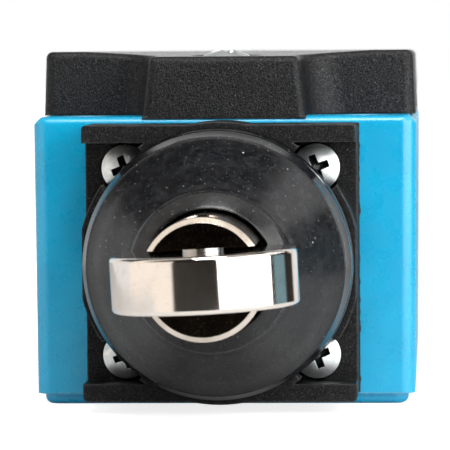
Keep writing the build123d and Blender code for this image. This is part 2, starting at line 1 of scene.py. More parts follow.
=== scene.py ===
import bmesh
import bpy
import json
import math
from mathutils import Matrix, Vector
from mathutils import noise as vector_noise


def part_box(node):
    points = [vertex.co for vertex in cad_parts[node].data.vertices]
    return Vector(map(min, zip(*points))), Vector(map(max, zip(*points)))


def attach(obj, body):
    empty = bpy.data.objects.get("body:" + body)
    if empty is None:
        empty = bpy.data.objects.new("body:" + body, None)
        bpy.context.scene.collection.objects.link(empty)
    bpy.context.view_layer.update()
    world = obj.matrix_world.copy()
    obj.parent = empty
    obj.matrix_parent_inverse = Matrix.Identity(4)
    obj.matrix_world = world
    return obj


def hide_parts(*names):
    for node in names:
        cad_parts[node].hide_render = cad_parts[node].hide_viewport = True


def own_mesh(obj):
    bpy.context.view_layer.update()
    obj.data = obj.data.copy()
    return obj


# Limit switch with a roller plunger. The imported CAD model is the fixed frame; this script adds the
# soft boot, the springs, the conduit thread, the gasket's flash, the finishes, the lights and the
# camera. Lengths are in metres.

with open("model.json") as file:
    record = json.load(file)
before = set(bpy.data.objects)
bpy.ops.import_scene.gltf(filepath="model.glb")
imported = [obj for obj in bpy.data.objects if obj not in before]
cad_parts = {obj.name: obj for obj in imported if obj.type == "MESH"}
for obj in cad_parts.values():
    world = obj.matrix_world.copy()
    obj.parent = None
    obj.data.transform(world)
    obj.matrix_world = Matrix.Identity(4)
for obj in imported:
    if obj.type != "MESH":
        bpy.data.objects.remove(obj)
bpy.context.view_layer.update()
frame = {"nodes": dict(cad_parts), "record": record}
nodes = frame["nodes"]

MM = 0.001

# Places that the pieces share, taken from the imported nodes
boot_bead = 1.4 * MM  # the boot's bead reaches this far into the boss
boot_low, boot_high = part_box("boot")
boss_face = boot_high.y - boot_bead
boot_tip = boot_low.y
roller_low, roller_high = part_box("roller")
roller_middle = (roller_low.y + roller_high.y) / 2
seat_low, seat_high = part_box("spring_seat")
axis_height = (seat_low.z + seat_high.z) / 2
conduit = next(mount for mount in frame["record"]["mounts"] if mount["name"] == "conduit_entry")

# Surroundings that the shiny faces mirror, as linear colours
left_wall = (0.95, 0.88, 0.81)
backdrop = (0.78, 0.78, 0.78)
blue_panel = (0.15, 0.27, 0.32)
dark_room = (0.008, 0.006, 0.004)
ceiling = (0.03, 0.03, 0.031, 1.0)
arch = (1.0, 0.94, 0.87, 1.0)
near_glow = 0.02  # of the table close to the switch


class Wiring:
    """Adds nodes to a node tree and joins them up."""

    def __init__(self, owner):
        owner.use_nodes = True
        self.tree = owner.node_tree
        self.tree.nodes.clear()

    def node(self, kind, inputs=None, **settings):
        made = self.tree.nodes.new(kind)
        for key, value in settings.items():
            setattr(made, key, value)
        for key, value in (inputs or {}).items():
            self.feed(made.inputs[key], value)
        return made

    def feed(self, socket, value):
        if isinstance(value, bpy.types.NodeSocket):
            self.tree.links.new(value, socket)
        else:
            socket.default_value = value

    def math(self, operation, a, b=0.0, clamp=False):
        return self.node("ShaderNodeMath", {0: a, 1: b}, operation=operation, use_clamp=clamp).outputs[0]

    def band(self, value, low, high, bottom=0.0, top=1.0, smooth=True):
        """Maps value from low..high to bottom..top, and holds it there outside."""
        return self.node(
            "ShaderNodeMapRange",
            {"Value": value, "From Min": low, "From Max": high, "To Min": bottom, "To Max": top},
            interpolation_type="SMOOTHSTEP" if smooth else "LINEAR",
        ).outputs[0]

    def open_air(self, reach, low, high, alone=False):
        """0 in corners and gaps narrower than `reach` metres, 1 on open faces.
        With `alone`, only the object's own faces count."""
        closeness = self.node("ShaderNodeAmbientOcclusion", {"Distance": reach}, samples=6, only_local=alone)
        reached = closeness.outputs["AO"]
        return self.band(reached, low, high)

    def blend(self, share, a, b):
        """Colour mixed from a to b."""
        mixed = self.node("ShaderNodeMix", {"Factor": share}, data_type="RGBA")
        self.feed(mixed.inputs[6], a)
        self.feed(mixed.inputs[7], b)
        return mixed.outputs[2]

    def overlay(self, colour, mask, share, top):
        """Colour with `share` of the top colour laid over it where the mask is 1."""
        return self.blend(self.math("MULTIPLY", mask, share), colour, top)

    def room(self, place):
        """Colour of the surroundings in the direction of a place, turning from the camera's side to +X."""
        x, y, _ = self.node("ShaderNodeSeparateXYZ", {"Vector": place}).outputs
        turn = self.math("ARCTAN2", x, self.math("MULTIPLY", y, -1.0))
        share = self.band(turn, -math.pi, math.pi, smooth=False)
        ramp = self.node("ShaderNodeValToRGB", {"Fac": share})
        stops = (
            (-180, backdrop),
            (-100, backdrop),
            (-92, left_wall),
            (-36, left_wall),
            (-33, dark_room),
            (96, dark_room),
            (99, blue_panel),
            (117, blue_panel),
            (121, dark_room),
            (137, dark_room),
            (141, backdrop),
            (180, backdrop),
        )
        elements = ramp.color_ramp.elements
        while len(elements) < len(stops):
            elements.new(0.5)
        for element, (degrees, colour) in zip(elements, stops):
            element.position = (degrees + 180) / 360
            element.color = (*colour, 1.0)
        return ramp.outputs[0]


class Finish(Wiring):
    """A procedural material, built up node by node. Textures use the object's own coordinates."""

    def __init__(self, name):
        self.material = bpy.data.materials.new(name)
        super().__init__(self.material)
        self.place = self.node("ShaderNodeTexCoord").outputs["Object"]

    def stretch(self, scale, rotation=(0, 0, 0)):
        """The object's coordinates, scaled and turned."""
        turned = self.node("ShaderNodeMapping", {"Vector": self.place, "Rotation": rotation, "Scale": scale})
        return turned.outputs[0]

    def noise(self, size, detail=3.0, rough=0.5, place=None, distortion=0.0):
        """Noise from 0 to 1 whose features are about `size` across, in metres unless a place is given."""
        return self.node(
            "ShaderNodeTexNoise",
            {
                "Vector": place or self.place,
                "Scale": 1 / size,
                "Detail": detail,
                "Roughness": rough,
                "Distortion": distortion,
            },
        ).outputs[0]

    def specks(self, spacing, radius, share):
        """Mask of small round specks: one may lie in each cell of `spacing` metres."""
        cell = self.node("ShaderNodeTexVoronoi", {"Vector": self.place, "Scale": 1 / spacing})
        near = self.band(cell.outputs["Distance"], radius / spacing, 0.6 * radius / spacing)
        pick, strength, _ = self.node("ShaderNodeSeparateColor", {"Color": cell.outputs["Color"]}).outputs
        kept = self.math("LESS_THAN", pick, share)
        chosen = self.math("MULTIPLY", kept, self.band(strength, 0.0, 1.0, 0.25, 1.0))
        return self.math("MULTIPLY", near, chosen)

    def scratches(self, scale, rotation, share):
        """Mask of thin hairlines: noise stretched along one direction, kept only near its middle value."""
        streak = self.noise(1, 2.0, 0.5, self.stretch(scale, rotation))
        off_middle = self.math("ABSOLUTE", self.math("SUBTRACT", streak, 0.5))
        line = self.band(off_middle, 0.012, 0.002)
        patch = self.band(self.noise(4 * MM, 2.0), 1 - share - 0.04, 1 - share + 0.06)
        return self.math("MULTIPLY", line, patch)

    def facing(self):
        """X, Y and Z of the direction that the face looks in."""
        normal = self.node("ShaderNodeNewGeometry").outputs["True Normal"]
        return self.node("ShaderNodeSeparateXYZ", {"Vector": normal}).outputs

    def edges(self, radius):
        """Mask of outside and inside edges, and the softened normal that goes with it."""
        soft = self.node("ShaderNodeBevel", {"Radius": radius}, samples=6).outputs[0]
        true = self.node("ShaderNodeNewGeometry").outputs["True Normal"]
        dot = self.node("ShaderNodeVectorMath", {0: soft, 1: true}, operation="DOT_PRODUCT").outputs["Value"]
        return self.band(self.math("SUBTRACT", 1.0, dot), 0.002, 0.05), soft

    def bump(self, height, depth, normal=None):
        """Normal from a height map whose full range is `depth` metres."""
        made = self.node("ShaderNodeBump", {"Height": height, "Distance": depth, "Strength": 1.0})
        if normal is not None:
            self.feed(made.inputs["Normal"], normal)
        return made.outputs[0]

    def finish(self, inputs):
        shader = self.node("ShaderNodeBsdfPrincipled", inputs)
        self.node("ShaderNodeOutputMaterial", {"Surface": shader.outputs[0]})
        return self.material


def rgb(red, green, blue):
    """Linear colour from 0-255 display values."""
    linear = [(c / 255 / 12.92 if c < 11 else ((c / 255 + 0.055) / 1.055) ** 2.4) for c in (red, green, blue)]
    return (*linear, 1.0)


def scaled(colour, factor):
    """The same colour, darker or brighter."""
    return (*(factor * c for c in colour[:3]), 1.0)


# --- Finishes ----------------------------------------------------------------------------------


def blue_plastic():
    """Satin blue moulding: cloudy colour, fine grain, faint draw marks, pale edges that are partly rubbed
    wear and partly a painted highlight, dust.
    """
    f = Finish("body_plastic_detail")
    cloud = f.noise(7 * MM, 4.0, 0.55)
    fine = f.noise(0.35 * MM, 3.0, 0.6)
    colour = f.blend(f.band(cloud, 0.35, 0.7), rgb(0, 160, 204), rgb(0, 168, 212))
    colour = f.overlay(colour, f.band(fine, 0.45, 0.75), 0.06, rgb(0, 182, 222))
    edge_band, soft = f.edges(0.25 * MM)
    # Pale edges: partly rubbed wear, and partly a painted highlight where the rounded edges catch the light
    pale_edge = f.math("MULTIPLY", edge_band, f.band(f.noise(1.1 * MM, 4.0, 0.7), 0.42, 0.66, 0.5, 1.0))
    colour = f.overlay(colour, pale_edge, 0.5, rgb(186, 218, 234))
    draw = f.scratches((2600, 2600, 130), (0, 0, 0.2), 0.42)
    colour = f.overlay(colour, draw, 0.06, rgb(90, 200, 236))
    dust = f.specks(1.5 * MM, 0.07 * MM, 0.3)
    colour = f.overlay(colour, dust, 0.6, rgb(205, 222, 228))
    grime = f.specks(2.3 * MM, 0.06 * MM, 0.12)
    colour = f.overlay(colour, grime, 0.7, rgb(22, 48, 62))
    rough = f.band(f.noise(2.2 * MM, 4.0, 0.6), 0.3, 0.75, 0.25, 0.34)
    grain = f.math("ADD", f.math("MULTIPLY", f.noise(0.22 * MM, 2.0), 0.8), f.math("MULTIPLY", draw, -0.25))
    normal = f.bump(grain, 0.004 * MM, soft)
    return f.finish(
        {
            "Base Color": colour,
            "Roughness": rough,
            "Normal": normal,
            "IOR": 1.5,
            "Specular IOR Level": 0.8,
            "Subsurface Weight": 0.08,
            "Subsurface Radius": (0.4, 0.8, 1.0),
            "Subsurface Scale": 0.6 * MM,
        }
    )


def black_grain(name, base, cell, depth, rough_low, rough_high, shine):
    """Black moulding with a spark-eroded grain about `cell` metres across, rubbed smoother on its top."""
    f = Finish(name)
    grain = f.noise(cell, 2.0, 0.75)
    coarse = f.noise(cell * 3.1, 3.0, 0.6)
    height = f.math("ADD", grain, f.math("MULTIPLY", coarse, 0.35))
    colour = f.blend(f.band(grain, 0.3, 0.72), scaled(base, 0.5), scaled(base, 2.2))
    edge_band, soft = f.edges(0.3 * MM)
    pale_edge = f.math("MULTIPLY", edge_band, f.band(f.noise(0.9 * MM, 4.0, 0.7), 0.3, 0.56))
    colour = f.overlay(colour, pale_edge, 0.3, rgb(112, 111, 110))
    crest = f.band(grain, 0.6, 0.76)
    colour = f.overlay(colour, crest, 0.7, rgb(84, 84, 86))
    dust = f.math("MAXIMUM", f.specks(1.3 * MM, 0.08 * MM, 0.2), f.specks(0.6 * MM, 0.05 * MM, 0.1))
    colour = f.overlay(colour, dust, 0.7, rgb(178, 168, 154))
    # Painted shade: within half a millimetre of corners and narrow gaps the colour turns near black and the
    # shine drops
    clear = f.open_air(0.5 * MM, 0.5, 0.74)
    # Faces that look up are touched most, and are worn smoother
    handled = f.band(f.facing()[2], 0.9, 0.99)
    height = f.math("MULTIPLY", height, f.band(handled, 0.0, 1.0, 1.0, 0.15))
    colour = f.blend(clear, (0.001, 0.001, 0.001, 1), colour)
    rough = f.band(coarse, 0.3, 0.7, rough_low, rough_high)
    rough = f.math("SUBTRACT", rough, f.math("MULTIPLY", handled, 0.16))
    mirror = f.math("MULTIPLY", f.band(grain, 0.34, 0.66, 0.55, 1.25), f.math("MULTIPLY", clear, shine))
    mirror = f.math("MAXIMUM", mirror, f.math("MULTIPLY", handled, 0.5))
    return f.finish(
        {
            "Base Color": colour,
            "Roughness": rough,
            "Normal": f.bump(height, depth, soft),
            "IOR": 1.45,
            "Specular IOR Level": mirror,
        }
    )


def boot_rubber():
    """Dark, fairly shiny rubber with a cloudy film and hairlines. Pale dust lies mostly on its upper half."""
    f = Finish("boot_rubber_detail")
    x, _, z = f.node("ShaderNodeSeparateXYZ", {"Vector": f.place}).outputs
    up = f.math("SUBTRACT", z, axis_height)
    upper = f.band(up, -3 * MM, 3 * MM, 0.3, 1.0)
    film = f.noise(1.1 * MM, 6.0, 0.75, distortion=0.4)
    mottle = f.noise(0.5 * MM, 4.0, 0.7)
    smear = f.noise(1, 4.0, 0.65, f.stretch((420, 420, 1500), (0, 0.5, 0)))
    cloud = f.math("MULTIPLY", f.band(film, 0.44, 0.7), f.band(mottle, 0.4, 0.66))
    cloud = f.math("MAXIMUM", cloud, f.math("MULTIPLY", f.band(smear, 0.55, 0.72), 0.6))
    cloud = f.math("MULTIPLY", cloud, upper)
    colour = f.blend(f.band(film, 0.38, 0.66), rgb(11, 12, 14), rgb(21, 22, 25))
    colour = f.overlay(colour, cloud, 0.26, rgb(78, 82, 87))
    fine = f.math("MULTIPLY", f.specks(0.36 * MM, 0.065 * MM, 0.42), f.band(film, 0.4, 0.6, 0.3, 0.8))
    medium = f.specks(0.9 * MM, 0.095 * MM, 0.24)
    large = f.specks(2.4 * MM, 0.14 * MM, 0.35)
    dusty = f.math("MAXIMUM", f.math("MULTIPLY", f.math("MAXIMUM", fine, medium), upper), large)
    colour = f.overlay(colour, dusty, 0.75, rgb(196, 192, 184))
    hair = f.math(
        "MAXIMUM",
        f.scratches((3200, 3200, 420), (0, 0.7, 0), 0.34),
        f.scratches((3600, 3600, 500), (0, -0.95, 0), 0.3),
    )
    colour = f.overlay(colour, hair, 0.35, rgb(130, 132, 136))
    radius = f.math("SQRT", f.math("ADD", f.math("POWER", x, 2.0), f.math("POWER", up, 2.0)))
    rings = f.math("SINE", f.math("MULTIPLY", radius, 2 * math.pi / (0.62 * MM)))
    ridge = f.math("MULTIPLY", rings, f.band(f.noise(2 * MM, 2.0), 0.3, 0.7, 0.1, 0.5))
    height = f.math("MULTIPLY", f.noise(0.3 * MM, 4.0, 0.6), 1.2)
    height = f.math("ADD", height, f.math("MULTIPLY", ridge, 0.25))
    height = f.math("ADD", height, f.math("MULTIPLY", dusty, 0.8))
    rough = f.band(f.noise(1.4 * MM, 5.0, 0.62), 0.3, 0.7, 0.22, 0.34)
    # The skirt is smoother than the bell
    rough = f.math("MULTIPLY", rough, f.band(radius, 13.0 * MM, 13.15 * MM, 1.0, 0.6))
    rough = f.math("ADD", rough, f.math("MULTIPLY", dusty, 0.3), clamp=True)
    normal = f.bump(height, 0.007 * MM)
    return f.finish({"Base Color": colour, "Roughness": rough, "Normal": normal, "IOR": 1.5})


def seal_rubber():
    """Matt black sheet rubber, slightly chalky."""
    f = Finish("seal_rubber_detail")
    cloud = f.noise(0.7 * MM, 5.0, 0.65)
    colour = f.blend(f.band(cloud, 0.35, 0.7), rgb(20, 20, 22), rgb(44, 44, 46))
    colour = f.overlay(colour, f.specks(0.7 * MM, 0.05 * MM, 0.3), 0.6, rgb(140, 136, 128))
    rough = f.band(cloud, 0.3, 0.7, 0.62, 0.82)
    normal = f.bump(f.noise(0.16 * MM, 4.0), 0.02 * MM)
    return f.finish({"Base Color": colour, "Roughness": rough, "Normal": normal, "IOR": 1.5})


def turned_metal(name, bright, dull, rough_low, rough_high, across, spots, stretched=0.0, front_face_colour=None):
    """Ground or plated metal: fine grinding lines squeezed `across` their run, stains, flecks and pits.
    With a front face colour, faces that look forward along the plunger's axis (towards -Y) are darker, with
    pale specks."""
    f = Finish(name)
    lines = f.noise(1, 3.0, 0.6, f.stretch(across))
    stain = f.noise(1.6 * MM, 5.0, 0.65, distortion=0.8)
    colour = f.blend(f.band(stain, 0.46, 0.78, 0.0, 0.6), bright, dull)
    colour = f.overlay(colour, f.band(lines, 0.5, 0.8), 0.2, dull)
    pits = f.specks(0.5 * MM, 0.05 * MM, spots)
    colour = f.overlay(colour, pits, 0.7, scaled(dull, 0.35))
    worn = f.math("ADD", f.math("MULTIPLY", lines, 0.6), f.math("MULTIPLY", stain, 0.4))
    rough = f.band(worn, 0.3, 0.75, rough_low, rough_high)
    flecks = f.band(f.noise(0.2 * MM, 3.0, 0.7), 0.56, 0.72)
    rough = f.math("ADD", rough, f.math("MULTIPLY", flecks, 0.07))
    _, soft = f.edges(0.06 * MM)
    if front_face_colour:
        # Faces that look forward along the plunger's axis (towards -Y) are darker, with pale specks
        end = f.band(f.facing()[1], -0.93, -0.98)
        speckle = f.band(f.noise(0.24 * MM, 4.0, 0.75), 0.54, 0.78)
        front_face_speckle = f.blend(speckle, front_face_colour, scaled(front_face_colour, 9))
        colour = f.blend(end, colour, front_face_speckle)
        rough = f.math("ADD", rough, f.math("MULTIPLY", end, 0.12))
    height = f.math("SUBTRACT", lines, f.math("MULTIPLY", pits, 1.5))
    return f.finish(
        {
            "Base Color": colour,
            "Metallic": f.band(flecks, 0.0, 1.0, 1.0, 0.96),
            "Roughness": rough,
            "Anisotropic": stretched,
            "Normal": f.bump(height, 0.0012 * MM, soft),
        }
    )


def zinc():
    """Bright zinc plate: cool and slightly mottled, with painted shade that makes the screws' recesses nearly
    black.
    """
    f = Finish("zinc_detail")
    stain = f.noise(0.8 * MM, 5.0, 0.6, distortion=0.5)
    colour = f.blend(f.band(stain, 0.36, 0.66), rgb(252, 254, 254), rgb(230, 238, 238))
    tint = f.noise(1.9 * MM, 2.0)
    colour = f.blend(f.band(tint, 0.55, 0.75, 0.0, 0.4), colour, rgb(176, 190, 206))
    pits = f.specks(0.42 * MM, 0.045 * MM, 0.2)
    colour = f.overlay(colour, pits, 0.6, rgb(92, 88, 78))
    # Painted shade: the screws' own recesses and corners turn nearly black
    colour = f.blend(f.open_air(1.2 * MM, 0.62, 0.86, alone=True), rgb(16, 20, 19), colour)
    rough = f.band(stain, 0.3, 0.7, 0.42, 0.52)
    _, soft = f.edges(0.08 * MM)
    return f.finish(
        {
            "Base Color": colour,
            "Metallic": 1.0,
            "Roughness": rough,
            "Normal": f.bump(f.noise(0.12 * MM, 4.0, 0.6), 0.003 * MM, soft),
        }
    )


def moulded(name, low, high, rough, cell):
    """Plain moulded plastic inside the switch: light mottling, fine grain and rubbed edges."""
    f = Finish(name)
    cloud = f.noise(2.4 * MM, 5.0, 0.6)
    colour = f.blend(f.band(cloud, 0.35, 0.68), low, high)
    edge_band, soft = f.edges(0.15 * MM)
    pale_edge = (*(min(1.0, c + 0.18) for c in high[:3]), 1.0)
    colour = f.overlay(colour, edge_band, 0.2, pale_edge)
    grain = f.noise(cell, 3.0, 0.6)
    grained = f.band(grain, 0.3, 0.7, rough - 0.08, rough + 0.08)
    normal = f.bump(grain, 0.006 * MM, soft)
    return f.finish({"Base Color": colour, "Roughness": grained, "Normal": normal, "IOR": 1.5})


# Grinding lines run along the axis with the small number, and lie close together along the large one
finishes = {
    "body_plastic": blue_plastic(),
    "cover_plastic": black_grain(
        "cover_plastic_detail",
        base=rgb(17, 17, 18),
        cell=0.17 * MM,
        depth=0.085 * MM,
        rough_low=0.3,
        rough_high=0.42,
        shine=0.42,
    ),
    "head_plastic": black_grain(
        "head_plastic_detail",
        base=rgb(12, 12, 13),
        cell=0.15 * MM,
        depth=0.02 * MM,
        rough_low=0.46,
        rough_high=0.62,
        shine=0.36,
    ),
    "boot_rubber": boot_rubber(),
    "seal_rubber": seal_rubber(),
    "nickel_steel": turned_metal(
        "nickel_steel_detail",
        bright=rgb(240, 230, 218),
        dull=rgb(196, 180, 164),
        rough_low=0.12,
        rough_high=0.22,
        across=(900, 14000, 900),
        spots=0.3,
        front_face_colour=rgb(31, 25, 19),
    ),
    "roller_steel": turned_metal(
        "roller_steel_detail",
        bright=rgb(250, 242, 234),
        dull=rgb(226, 214, 204),
        rough_low=0.04,
        rough_high=0.09,
        across=(700, 700, 13000),
        spots=0.08,
        stretched=0.5,
    ),
    "steel": turned_metal(
        "steel_detail",
        bright=rgb(206, 204, 200),
        dull=rgb(150, 146, 140),
        rough_low=0.2,
        rough_high=0.36,
        across=(4000, 4000, 4000),
        spots=0.3,
    ),
    "spring_steel": turned_metal(
        "spring_steel_detail",
        bright=rgb(196, 196, 198),
        dull=rgb(132, 132, 136),
        rough_low=0.22,
        rough_high=0.4,
        across=(3000, 3000, 3000),
        spots=0.3,
    ),
    "zinc_steel": zinc(),
    "brass": turned_metal(
        "brass_detail",
        bright=rgb(226, 192, 116),
        dull=rgb(168, 130, 68),
        rough_low=0.2,
        rough_high=0.36,
        across=(5000, 5000, 900),
        spots=0.3,
    ),
    "bronze": turned_metal(
        "bronze_detail",
        bright=rgb(186, 140, 92),
        dull=rgb(126, 88, 56),
        rough_low=0.28,
        rough_high=0.46,
        across=(900, 9000, 900),
        spots=0.5,
    ),
    "contact_brass": turned_metal(
        "contact_brass_detail",
        bright=rgb(232, 204, 134),
        dull=rgb(176, 142, 82),
        rough_low=0.22,
        rough_high=0.38,
        across=(900, 900, 6000),
        spots=0.25,
    ),
    "contact_silver": turned_metal(
        "contact_silver_detail",
        bright=rgb(236, 236, 232),
        dull=rgb(176, 172, 160),
        rough_low=0.18,
        rough_high=0.34,
        across=(4000, 4000, 4000),
        spots=0.3,
    ),
    "block_plastic": moulded("block_plastic_detail", rgb(40, 40, 42), rgb(58, 58, 60), 0.45, 0.2 * MM),
    "lid_plastic": moulded("lid_plastic_detail", rgb(196, 198, 196), rgb(216, 218, 214), 0.3, 0.3 * MM),
    "stem_plastic": moulded("stem_plastic_detail", rgb(214, 210, 200), rgb(232, 228, 220), 0.4, 0.25 * MM),
}
for node in nodes.values():
    for place in node.material_slots:
        place.material = finishes[place.material.name.split(".")[0]]


# --- Pieces built here ---------------------------------------------------------------------------


def add(name, data):
    """Puts a new object with the given data into the scene."""
    thing = bpy.data.objects.new(name, data)
    bpy.context.scene.collection.objects.link(thing)
    return thing


def piece(name, body, slot, made, smooth=True):
    """Turns a bmesh into a named piece that rides on a body and takes a slot's finish."""
    data = bpy.data.meshes.new(name)
    bmesh.ops.recalc_face_normals(made, faces=made.faces)
    made.to_mesh(data)
    made.free()
    for face in data.polygons:
        face.use_smooth = smooth
    data.materials.append(finishes[slot])
    thing = add(name, data)
    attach(thing, body)
    return thing


def around_axis(y, radius, angle):
    """Point at a distance from the plunger's axis."""
    return Vector((radius * math.cos(angle), y, axis_height + radius * math.sin(angle)))


def skin(made, rings, closed_run):
    """Joins rings of vertices with quads; each ring is closed, and the run of rings may be too."""
    runs = len(rings) if closed_run else len(rings) - 1
    for i in range(runs):
        first, second = rings[i], rings[(i + 1) % len(rings)]
        for j in range(len(first)):
            k = (j + 1) % len(first)
            made.faces.new((first[j], first[k], second[k], second[j]))


def spline(points, steps):
    """Smooth run of (radius, depth) points through the given ones."""
    run = []
    for i in range(len(points) - 1):
        before = Vector(points[max(i - 1, 0)])
        a, b = Vector(points[i]), Vector(points[i + 1])
        after = Vector(points[min(i + 2, len(points) - 1)])
        for s in range(steps):
            t = s / steps
            run.append(
                0.5
                * (
                    2 * a
                    + (b - before) * t
                    + (2 * before - 5 * a + 4 * b - after) * t * t
                    + (3 * a - before - 3 * b + after) * t**3
                )
            )
    run.append(Vector(points[-1]))
    return run


def vectors(*points):
    return [Vector(point) for point in points]


def boot():
    """Rubber boot, turned from its section: radius and depth outwards from the boss, in millimetres."""
    reach = (boss_face - boot_tip) / MM
    bell = [(13.06, 5.98), (12.8, 6.3), (12.2, 7.2), (11.3, 8.7), (10.3, 10.2), (9.3, 11.7), (8.6, 12.75)]
    bell = spline(bell, 4)
    neck = spline([(8.3, 13.1), (8.12, 13.4), (8.06, 13.8), (8.02, 14.35)], 3)
    cone = spline([(7.93, 14.6), (7.45, 15.1), (6.95, 15.6), (6.62, reach - 0.1), (6.45, reach)], 4)
    mouth = spline([(6.36, reach - 0.1), (6.3, reach - 0.6), (6.24, 13.7), (6.14, 13.38)], 3)
    lip = vectors((6.06, 13.36), (6.0, 13.25), (6.0, 11.45), (6.06, 11.34), (6.2, 11.32), (7.6, 11.32))
    inside = [(7.85, 11.2), (8.5, 10.4), (9.6, 8.9), (10.8, 7.2), (11.8, 5.2), (12.2, 3.4), (12.2, 1.4)]
    inside = spline(inside, 3)
    bead = vectors((12.1, 1.22), (9.6, 1.2), (9.44, 1.14), (9.42, 1.0), (9.42, 0.12), (9.5, 0.02))
    bead += vectors((9.66, 0.0), (9.67, -1.3), (9.74, -1.38), (10.46, -1.38), (10.53, -1.3), (10.54, 0.0))
    # The skirt narrows to a crisp front edge, and has a thin moulded line near the boss
    skirt = vectors((13.62, 0.0), (13.76, 0.04), (13.79, 0.16), (13.79, 0.95), (13.86, 1.08), (13.86, 1.2))
    skirt += vectors((13.77, 1.32), (13.72, 3.2), (13.68, 3.9), (13.64, 4.06), (13.58, 4.22), (13.2, 5.56))
    skirt += vectors((13.15, 5.76), (13.14, 5.88), (13.11, 5.95))
    made = bmesh.new()
    rings = []
    around = 192
    for radius, depth in bell + neck + cone + mouth + lip + inside + bead + skirt:
        # Slight unevenness of moulded rubber, fading out where the boot touches other pieces
        free = min(1.0, max(0.0, (depth - 5.5) / 3.0)) * min(1.0, max(0.0, (radius - 6.6) / 1.0))
        y = boss_face - depth * MM
        ring = []
        for j in range(around):
            angle = 2 * math.pi * j / around
            spot = around_axis(y, radius * MM, angle)
            swell = vector_noise.noise(spot * 260) * 0.05 + vector_noise.noise(spot * 90) * 0.06
            ring.append(made.verts.new(around_axis(y, (radius + free * swell) * MM, angle)))
        rings.append(ring)
    skin(made, rings, True)
    rubber = piece("boot_skin", "housing", "boot_rubber", made)
    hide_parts("boot")
    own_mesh(rubber)


def wire_coil(name, node, wire, mean, turns):
    """Coil spring with its end turns closed up, standing in for a CAD coil as long as itself.
    `wire` and `mean` are radii."""
    low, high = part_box(node)
    steps = int(turns * 48)
    sides = 16
    usable = high.y - low.y - 2 * wire
    closed_share = 0.75 / turns
    closed_pitch = 1.02 * 2 * wire
    closed = closed_pitch * closed_share * turns
    made = bmesh.new()
    rings = []
    for i in range(steps + 1):
        t = i / steps
        # The pitch opens out gradually after the closed end turns
        if t < closed_share:
            along = closed_pitch * t * turns
        elif t > 1 - closed_share:
            along = usable - closed_pitch * (1 - t) * turns
        else:
            u = (t - closed_share) / (1 - 2 * closed_share)
            along = closed + (usable - 2 * closed) * (u - 0.06 * math.sin(2 * math.pi * u))
        angle = 2 * math.pi * turns * t
        outward = Vector((math.cos(angle), 0, math.sin(angle)))
        middle = Vector((0, low.y + wire + along, axis_height)) + outward * mean
        ring = []
        for j in range(sides):
            around = 2 * math.pi * j / sides
            rise = Vector((0, wire * math.sin(around), 0))
            ring.append(made.verts.new(middle + outward * wire * math.cos(around) + rise))
        rings.append(ring)
    skin(made, rings, False)
    made.faces.new(rings[0])
    made.faces.new(rings[-1])
    coil = piece(name, "housing", "spring_steel", made)
    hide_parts(node)
    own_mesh(coil)


def conduit_thread():
    """Helical ridge inside the conduit entry."""
    bore = conduit["dims"]["r_mm"] * MM
    _, mouth, height = conduit["pos_m"]
    pitch = 1.5 * MM
    turns = 5
    first_turn = 0.95 * MM
    per_turn = 72
    run_out = 24  # steps over which the ridge fades in and out
    steps = turns * per_turn
    section = ((0.06, -0.62), (-0.42, -0.2), (-0.42, 0.2), (0.06, 0.62))
    made = bmesh.new()
    rings = []
    for i in range(steps + 1):
        angle = 2 * math.pi * i / per_turn
        grow = min(1.0, i / run_out, (steps - i) / run_out)
        y = mouth - first_turn - pitch * i / per_turn
        ring = []
        for depth, side in section:
            r = bore + depth * MM * (grow if depth < 0 else 1.0)
            ring.append(made.verts.new((r * math.cos(angle), y - side * MM, height + r * math.sin(angle))))
        rings.append(ring)
    skin(made, rings, False)
    made.faces.new(rings[0])
    made.faces.new(rings[-1])
    piece("conduit_thread", "housing", "body_plastic", made, smooth=False)


def gasket_flash():
    """Thin ragged flash that stands out past the head along the gasket's edge."""
    low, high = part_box("head_gasket")
    corners = [(low.x, low.z), (high.x, low.z), (high.x, high.z), (low.x, high.z)]
    left_side = 3
    tab_height = 14.2 * MM
    hidden = -0.3 * MM  # how far the strip starts under the head
    y_front = low.y + 0.02 * MM
    y_back = high.y - 0.22 * MM
    made = bmesh.new()
    rings = []
    for side in range(4):
        (ax, az), (bx, bz) = corners[side], corners[(side + 1) % 4]
        out = Vector((bz - az, 0, ax - bx)).normalized()
        length = math.hypot(bx - ax, bz - az)
        steps = int(length / (0.16 * MM))
        for i in range(steps):
            t = i / steps
            base = Vector((ax + (bx - ax) * t, 0, az + (bz - az) * t))
            rag = vector_noise.noise(base * 1500) * 0.6 + vector_noise.noise(base * 420) * 0.8
            stand = (0.04 + 0.24 * max(0.0, rag)) * MM
            # One torn tab half way up the left side
            if side == left_side:
                tab = math.exp(-(((base.z - tab_height) / (0.5 * MM)) ** 2))
                stand += 0.38 * MM * tab
            ring = []
            tip = (stand, y_front + 0.05 * MM)
            for push, y in ((hidden, y_front), tip, (stand * 0.8, y_back), (hidden, y_back)):
                spot = base + out * push
                ring.append(made.verts.new((spot.x, y, spot.z)))
            rings.append(ring)
    skin(made, rings, True)
    piece("gasket_flash", "housing", "seal_rubber", made, smooth=False)


boot()
wire_coil(
    "return_coil",
    "return_spring",
    wire=0.4 * MM,
    mean=7.05 * MM,
    turns=4.5,
)
wire_coil(
    "stem_coil",
    "stem_spring",
    wire=0.25 * MM,
    mean=1.9 * MM,
    turns=6.5,
)
conduit_thread()
gasket_flash()

# --- Stage, lights and camera ----------------------------------------------------------------------


